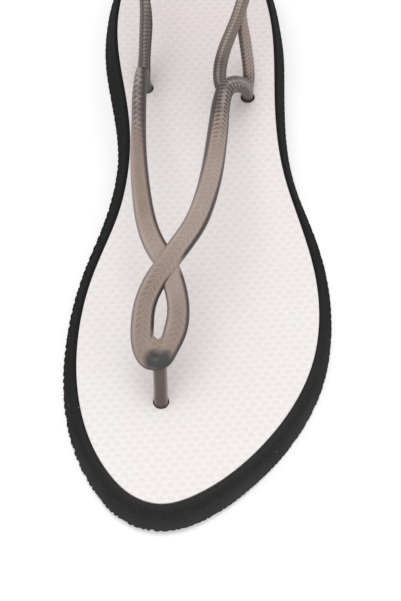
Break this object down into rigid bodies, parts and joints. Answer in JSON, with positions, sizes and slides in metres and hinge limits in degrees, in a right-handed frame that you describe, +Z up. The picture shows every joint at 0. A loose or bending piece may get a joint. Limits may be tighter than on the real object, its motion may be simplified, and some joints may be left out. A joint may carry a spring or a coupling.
{
  "type": "thong slingback sandal",
  "caption": "Flat left-foot thong sandal with a toe post, crossed loop straps, side legs and a heel band on a black foam sole with an inlaid white footbed.",
  "frame": {"origin": "middle of the bounding box on the floor plane under the sole", "axes": "+Z up, toe towards -Y, heel towards +Y, the big-toe side towards -X"},
  "size_m": [0.0904, 0.26, 0.0632],
  "materials": {
    "outsole": "matte black foam rubber",
    "footbed": "matte white dimpled foam rubber",
    "upper": "satin smoky translucent soft plastic with a herringbone face"
  },
  "bodies": {
    "root": {"outsole": "outsole", "footbed": "footbed", "upper": "upper"}
  },
  "joints": []
}
